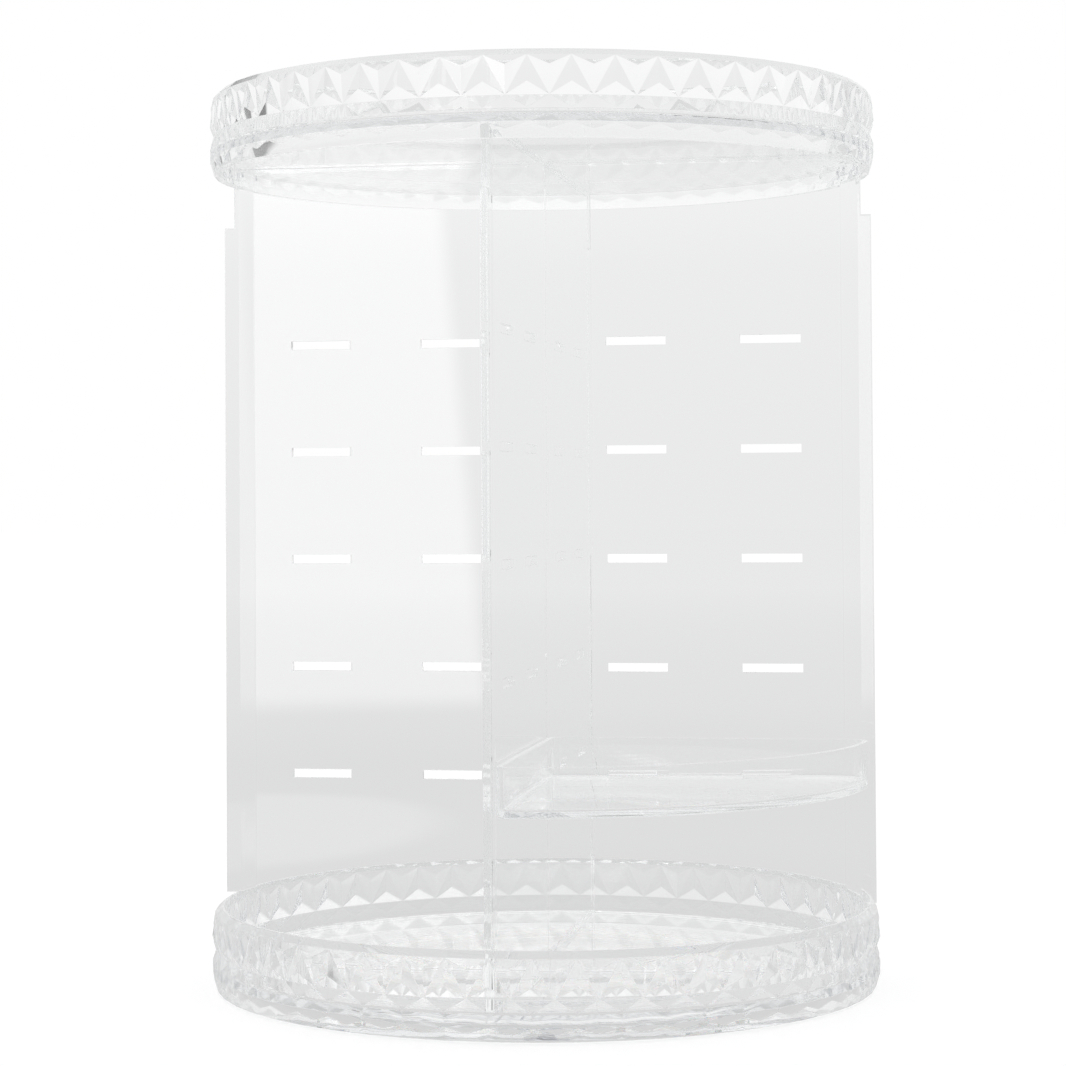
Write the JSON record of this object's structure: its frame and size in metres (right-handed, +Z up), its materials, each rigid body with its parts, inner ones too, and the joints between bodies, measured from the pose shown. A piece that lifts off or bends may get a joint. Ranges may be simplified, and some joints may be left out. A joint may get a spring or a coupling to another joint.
{
  "type": "rotating makeup organizer",
  "caption": "Clear round cosmetics organizer on a ball-ring turntable: faceted base and top trays, crossed slotted wall panels and a quarter shelf.",
  "frame": {"origin": "on the table under the axis of rotation, at the middle of the footprint", "axes": "+Z up along the axis of rotation; +X along the wide panel, towards the quarter shelf's side; -Y towards the shelf's side of the cross panel"},
  "size_m": [0.2304, 0.2304, 0.3072],
  "materials": {
    "clear_plastic": "clear, polished, colourless",
    "white_resin": "white bearing resin, slightly waxy",
    "zinc_steel": "zinc plated",
    "soft_rubber": "matt, translucent grey"
  },
  "bodies": {
    "turntable": {"turntable_disc": "clear_plastic", "rubber_foot_1": "soft_rubber", "rubber_foot_2": "soft_rubber", "rubber_foot_3": "soft_rubber", "rubber_foot_4": "soft_rubber"},
    "ball_ring": {"ball_cage": "white_resin", "ball_1": "white_resin", "ball_2": "white_resin", "ball_3": "white_resin", "ball_4": "white_resin", "ball_5": "white_resin", "ball_6": "white_resin", "ball_7": "white_resin", "ball_8": "white_resin", "ball_9": "white_resin", "ball_10": "white_resin", "ball_11": "white_resin", "ball_12": "white_resin"},
    "carousel": {"base_tray": "clear_plastic", "pivot_washer": "zinc_steel", "pivot_screw": "zinc_steel", "divider_panel_wide": "clear_plastic", "divider_panel_cross": "clear_plastic"},
    "shelf": {"quarter_shelf": "clear_plastic"},
    "upper_tray": {"top_tray": "clear_plastic"}
  },
  "joints": [
    {"name": "carousel_spin", "type": "hinge", "parent": "turntable", "child": "carousel", "pos_m": [0, 0, 0.0063], "axis": [0, 0, 1], "continuous": true},
    {"name": "ball_ring_roll", "type": "hinge", "parent": "turntable", "child": "ball_ring", "pos_m": [0, 0, 0.0048], "axis": [0, 0, 1], "continuous": true},
    {"name": "shelf_pull", "type": "slide", "parent": "carousel", "child": "shelf", "axis": [0.7071, -0.7071, 0], "range_m": [0, 0.13]},
    {"name": "top_tray_lift", "type": "slide", "parent": "carousel", "child": "upper_tray", "axis": [0, 0, 1], "range_m": [0, 0.06]}
  ],
  "couplings": [
    {"joint": "ball_ring_roll", "follows": "carousel_spin", "ratio": 0.5}
  ]
}
